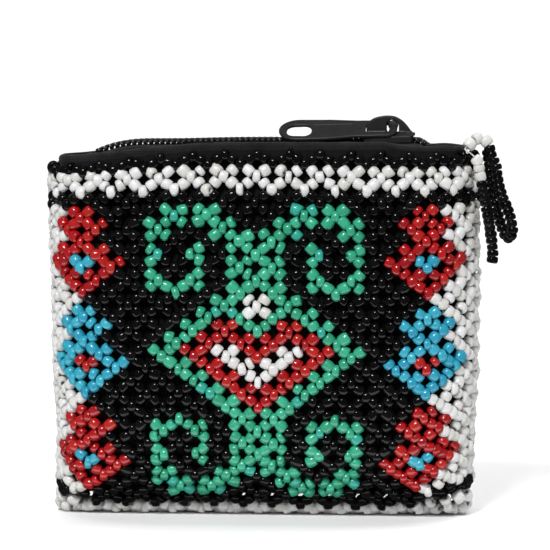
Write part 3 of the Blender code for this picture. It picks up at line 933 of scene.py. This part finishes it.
def slider():
    step = 0.14
    low, high = (21.5, -3.3, CHAIN_TOP - 3.5), (33.9, 3.3, CHAIN_TOP + 5.0)
    x, y, z = grid(low, high, step)
    z = z - CHAIN_TOP
    # the upper plate: shield-shaped from above, with a crowned back and lips down each side
    plan = [(22.0, -2.2), (22.5, -2.75), (25.0, -2.95), (29.0, -2.95), (32.5, -2.75), (33.3, -1.7),
            (33.3, 1.7), (32.5, 2.75), (29.0, 2.95), (25.0, 2.95), (22.5, 2.75), (22.0, 2.2)]
    flat = polygon_distance(x, y, plan)
    roof = 0.16 + 0.72 * np.clip(1 - ((np.abs(y) - 0.8) / 2.15).clip(0, 1) ** 1.5, 0, 1)
    shell = np.maximum(flat, np.maximum(z - roof, -1.2 - z))
    tunnel = np.maximum(np.abs(y) - 2.25, z - 0.25)
    shell = np.maximum(shell, -tunnel)
    lower = rounded_box(x, y, z, (27.1, 0, -2.68), (4.7, 2.85, 0.42), 0.3)
    post = rounded_box(x, y, z, (30.2, 0, -0.9), (1.2, 0.15, 1.7), 0.1)
    body = blend_union(shell, lower, 0.05)
    body = np.minimum(body, post)
    # the bridge: a bar bent along the slider, wide at its right foot
    out = [(22.8, 0.6), (22.8, 2.5), (23.3, 3.35), (24.7, 4.2), (26.9, 4.6), (28.9, 4.45),
           (30.5, 3.6), (31.6, 2.5), (32.4, 1.4), (33.2, 0.5)]
    inner = [(29.95, 0.6), (29.85, 1.6), (29.82, 2.5), (29.55, 3.12), (28.7, 3.63), (27.8, 3.55),
             (27.3, 3.0), (27.2, 2.0), (27.2, 0.6)]
    bar = slab(polygon_distance(x, z, curved(out) + curved(inner)), np.abs(y) - 0.80, 0.3)
    spine = rounded_box(x, y, z, (27.2, 0, 0.55), (4.2, 1.05, 0.5), 0.4)
    body = blend_union(body, spine, 0.4)
    body = blend_union(body, bar, 0.4)
    points, faces = level_surface(body, low, step)
    return points, faces


def curved(points):
    return [tuple(p) for p in curve_through(points, 0.35)]


points, faces = slider()
casting = mesh_object("slider_casting", points, faces, ZINC)
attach(casting, "slider")
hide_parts("slider_body")

TAB_LENGTH, RING_HALF, TIP_HALF, TAB_SHIFT, TAB_THICK = 25.0, 2.95, 3.82, -0.93, 0.78


def tab_outline():
    side = [(0.95 - 2.1 + 2.1 * math.cos(math.radians(a)), RING_HALF - 2.1 + 2.1 * math.sin(math.radians(a)))
            for a in (0, 11, 22, 33, 45, 56, 68, 79, 90)]
    side += [(-8.0, RING_HALF + 0.1), (-14.0, TIP_HALF - 0.15)]
    for i in range(15):
        t = math.radians(90 * i / 14)
        side.append((-TAB_LENGTH + 4.4 - 4.4 * math.sin(t), TIP_HALF * math.cos(t)))
    return side[:-1] + [(-TAB_LENGTH, 0.0)] + [(x, -y) for x, y in side[:-1][::-1]]


def rounded_slot(x0, x1, half, radius, taper=0.0):
    out = []
    for cx, sx in ((x1 - radius, 1), (x0 + radius, -1)):
        for a in (0, 15, 30, 45, 60, 75, 90):
            t = math.radians(a if sx > 0 else 90 - a)
            h = half - (taper if sx < 0 else 0)
            out.append((cx + sx * radius * math.cos(t), h - radius + radius * math.sin(t)))
    return out + [(x, -y) for x, y in out[::-1]]


def tab():
    step = 0.115
    low, high = (-25.5, -4.1, -0.8), (1.5, 4.1, 0.8)
    x, y, z = grid(low, high, step)
    plane = (x[:, :, 0], y[:, :, 0])
    outline = polygon_distance(*plane, tab_outline())
    ring = polygon_distance(*plane, rounded_slot(-5.9, -0.82, 1.95, 1.35))
    tip = polygon_distance(plane[0], plane[1] + 0.45, rounded_slot(-23.2, -17.8, 2.1, 1.7, 0.1))
    panel = np.maximum(polygon_distance(plane[0], plane[1] + 0.3, rounded_slot(-19.5, -8.4, 2.3, 0.8)), 0.75 - tip)
    d2 = np.maximum(outline, -np.minimum(ring, tip))
    # thinner in the panel, with a soft step, and a raised rim round the edge and both holes
    floor = np.clip((-panel - 0.05) / 0.35, 0, 1)
    floor = floor * floor * (3 - 2 * floor)
    rim = np.exp(-((np.abs(d2) - 0.42) / 0.30) ** 2)
    half = TAB_THICK / 2 - 0.055 - 0.15 * floor + 0.055 * rim
    body = slab(np.broadcast_to(d2[:, :, None], x.shape), np.abs(z) - half[:, :, None], 0.26)
    points, faces = level_surface(body, low, step)
    roll, pitch = math.radians(30.5), math.radians(0.6)
    y = points[:, 1] + TAB_SHIFT - 0.22 * np.clip((-8 - points[:, 0]) / 8, 0, 1)
    up = y * math.sin(roll) + points[:, 2] * math.cos(roll)
    placed = np.column_stack([points[:, 0] * math.cos(pitch) - up * math.sin(pitch),
                              y * math.cos(roll) - points[:, 2] * math.sin(roll),
                              points[:, 0] * math.sin(pitch) + up * math.cos(pitch) - 0.25])
    # the pin that turns under the bridge
    turned = [(-0.78, 0.9), (-0.72, 1.02), (-0.6, 1.08), (0.6, 1.08), (0.72, 1.02), (0.78, 0.9)]
    pin = tube([(0.0, y, 0.0) for y, _ in turned], [r for _, r in turned], 28)
    points, faces = join([(placed, faces.tolist()), pin])
    return points + np.array(HINGE), faces


points, faces = tab()
puller = mesh_object("tab_casting", points, faces, ZINC)
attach(puller, "tab")
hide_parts("pull_tab")

for name in ("zip_stop_left", "zip_stop_right"):
    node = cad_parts[name]
    node.data.materials.clear()
    node.data.materials.append(ZINC)

# ---- bead strings ----------------------------------------------------------
STRING_FRONT = [(46.05, -6.5, 79.75), (46.5, -6.3, 79.3), (46.8, -6.2, 78.95), (47.4, -6.1, 77.6),
                (47.85, -6.1, 74.9), (48.3, -6.1, 72.3), (48.9, -6.1, 69.5), (49.45, -6.1, 66.3),
                (50.0, -6.1, 63.1), (50.35, -6.1, 60.2), (50.5, -6.1, 57.9), (50.3, -6.1, 56.2)]
STRING_LOOP = [(48.6, -3.1, 82.95), (49.5, -3.1, 81.5), (50.1, -3.1, 79.4), (51.1, -3.1, 77.0),
               (51.5, -3.1, 74.2), (52.0, -3.1, 71.6), (52.95, -3.1, 69.1), (54.0, -3.1, 66.5),
               (54.6, -3.05, 64.0), (54.55, -2.6, 62.2), (54.0, -1.75, 61.3), (53.2, -0.75, 61.5),
               (52.45, -0.2, 62.9), (51.7, -0.1, 65.0), (51.0, -0.1, 67.4), (50.5, -0.1, 70.0),
               (50.0, -0.1, 72.6), (49.65, -0.1, 75.2), (49.5, -0.15, 77.4), (49.35, -0.35, 79.0), (49.0, -0.6, 80.5)]
CREST = [(44.9, -6.3, 80.6), (44.5, -5.3, 80.8), (44.8, -4.7, 81.25), (45.5, -4.3, 81.75),
         (46.4, -3.8, 82.55), (47.2, -3.2, 83.05)]


def string_beads(route, sizes):
    """Beads threaded along a route. sizes gives, for each, (distance along, radius, half-length)."""
    line = curve_through(route, 0.25)
    length = along(line)
    places = []
    for where, radius, half in sizes:
        centre = np.array([np.interp(where, length, line[:, k]) for k in range(3)])
        ahead = np.array([np.interp(min(where + 0.3, length[-1]), length, line[:, k]) for k in range(3)])
        behind = np.array([np.interp(max(where - 0.3, 0), length, line[:, k]) for k in range(3)])
        way = ahead - behind
        way /= np.linalg.norm(way)
        way = way + rng.normal(0, 0.07, 3)
        places.append((centre, way, np.array([0.05, -1.0, 0.1]), radius, half, rng.normal(0, 0.08),
                       rng.normal(0, 0.015), rng.uniform(0, 6.28), rng.uniform()))
    return places, line, length


def spaced(start, end, pitch):
    count = int(round((end - start) / pitch))
    return [start + (end - start) * (k + 0.5) / count for k in range(count)]


def make_string(name, body, node, route, white, black_from, black_to, thread_name):
    line = curve_through(route, 0.25)
    end = along(line)[-1]
    white_places, line, length = string_beads(route, white)
    blacks = [] if black_from is None else spaced(black_from, end if black_to is None else black_to, 1.43)
    black_places, _, _ = string_beads(route, [
        (s, float(np.clip(rng.normal(1.28, 0.05), 1.15, 1.36)), float(np.clip(rng.normal(0.70, 0.04), 0.6, 0.74))) for s in blacks])
    made = []
    for colour, places in (("white", white_places), ("black", black_places)):
        if places:
            points, faces, tone = beads(places)
            obj = mesh_object(f"{name}_{colour}_beads", points, faces, GLASS[colour], tones={"tone": tone})
            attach(obj, body)
            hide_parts(node)
            made.append(obj)
    thread_material = THREAD_WHITE if black_from is None or name == "front_string" else THREAD_BLACK
    points, faces = tube(line[::2], 0.16, 6)
    obj = mesh_object(thread_name, points, faces, thread_material)
    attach(obj, body)
    return made


make_string("front_string", "front_string", "string_front", STRING_FRONT,
            [(1.75, 1.28, 0.95), (3.45, 1.22, 0.78), (5.25, 1.26, 0.92)], 6.3, None, "front_string_thread")
make_string("loop_string", "loop_string", "string_loop", STRING_LOOP,
            [(0.7, 1.42, 1.0)], 1.8, None, "loop_string_thread")
make_string("crest", "purse", "string_crest", CREST, [(2.9, 1.45, 1.05), (5.05, 1.4, 0.98)], None, None, "crest_thread")


# ---- knot ------------------------------------------------------------------
def knot():
    """An overhand knot of beading thread, with its threads to the front string and the crest and one cut tail."""
    strands = []
    t = np.linspace(0, 2 * math.pi, 60, endpoint=False)
    lobe = 0.26
    ring = np.column_stack([lobe * (np.sin(t) + 1.6 * np.sin(2 * t)) * 0.6, lobe * 0.8 * np.sin(3 * t) * -1 * 0.55,
                            lobe * (np.cos(t) - 1.6 * np.cos(2 * t)) * 0.62])
    strands.append(tube(ring + np.array(KNOT), 0.12, 7, closed=True))
    k = np.array(KNOT)
    strands.append(tube(curve_through([k + (0, -0.1, 0.1), k + (0.4, 0.2, -0.3), (46.05, -6.5, 79.75)], 0.12), 0.11, 6))
    strands.append(tube(curve_through([k + (0, 0, 0), k + (-0.15, 0.35, 0.15), (44.9, -6.3, 80.6)], 0.12), 0.11, 6))
    strands.append(tube(curve_through([k, k + (-0.35, -0.25, 0.25), k + (-0.62, -0.2, 0.55)], 0.12), 0.1, 6))
    return join(strands)


points, faces = knot()
tied = mesh_object("thread_knot", points, faces, THREAD_WHITE)
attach(tied, "purse")
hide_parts("string_knot")


# ---- stage -----------------------------------------------------------------
def sweep():
    """A pale floor that curves up into a backdrop."""
    paint = Paint("stage_paper")
    # painted shade: the paper's near end is coloured dark grey, standing in for its lying out of the light
    apart = paint.node("ShaderNodeSeparateXYZ")
    paint.link(paint.place, apart.inputs[0])
    painted_shade_near = paint.node("ShaderNodeMapRange")
    painted_shade_near.inputs["From Min"].default_value, painted_shade_near.inputs["From Max"].default_value = -0.26, -0.09
    paint.link(apart.outputs["Y"], painted_shade_near.inputs["Value"])
    grain = paint.ramp(paint.noise(6, 2, 0.5), [(0.3, (0.86, 0.86, 0.86)), (0.7, (0.89, 0.89, 0.89))])
    # painted shade: the colour runs from dark grey at the near end to the pale paper
    paint.colour(paint.mix("MIX", painted_shade_near.outputs["Result"], (0.16, 0.16, 0.16), grain))
    paint.set(Roughness=0.9, Specular_IOR_Level=0.1)
    section = [(-2.2, 0.0), (0.75, 0.0)]
    for i in range(1, 13):
        t = math.radians(90 * i / 12)
        section.append((0.75 + 0.5 * math.sin(t), 0.5 - 0.5 * math.cos(t)))
    section.append((1.25, 2.6))
    points, faces = [], []
    for y, z in section:
        points += [(-2500.0, y * 1000, z * 1000), (2500.0, y * 1000, z * 1000)]
    for i in range(len(section) - 1):
        faces.append([2 * i, 2 * i + 1, 2 * i + 3, 2 * i + 2])
    floor = mesh_object("stage_sweep", points, faces, paint.mat)
    floor.visible_glossy = False


sweep()


def area(name, place, aim, size, power, colour=(1.0, 1.0, 1.0), shape="RECTANGLE", size_y=None):
    data = bpy.data.lights.new(name, "AREA")
    data.shape = shape
    data.size = size
    if size_y:
        data.size_y = size_y
    data.energy = power
    data.color = colour
    obj = bpy.data.objects.new(name, data)
    obj.location = place
    obj.rotation_mode = "QUATERNION"
    obj.rotation_quaternion = (Vector(aim) - Vector(place)).to_track_quat("-Z", "Y")
    scene.collection.objects.link(obj)
    return obj


area("key", (-0.16, -0.66, 0.78), (0, 0, 0.045), 0.28, 8.5, size_y=0.2)
area("fill_left", (-0.9, -0.75, 0.45), (0, 0, 0.04), 0.9, 3.4, size_y=0.9).visible_glossy = False
area("fill_right", (0.95, -0.7, 0.45), (0, 0, 0.04), 0.9, 3.6, size_y=0.9).visible_glossy = False
area("floor_wash", (0.42, 0.30, 0.55), (0.12, 0.10, 0.0), 0.4, 1.6, size_y=0.4).visible_glossy = False
area("backdrop", (0.0, 0.35, 1.5), (0, 1.05, 0.2), 1.6, 18.0, size_y=0.6).visible_glossy = False

# a pale card at the purse's foot, seen only as a thin gleam under each bead
card = area("foot_card", (0.0, -0.034, 0.0008), (0.0, -0.034, 1.0), 0.22, 0.05, size_y=0.03)
card.visible_camera = card.visible_diffuse = False

world = bpy.data.worlds.new("studio")
scene.world = world
world.use_nodes = True
world.node_tree.nodes["Background"].inputs["Color"].default_value = (1.0, 1.0, 1.0, 1.0)
world.node_tree.nodes["Background"].inputs["Strength"].default_value = 0.10
scene.view_settings.view_transform = "Standard"

bpy.context.view_layer.update()
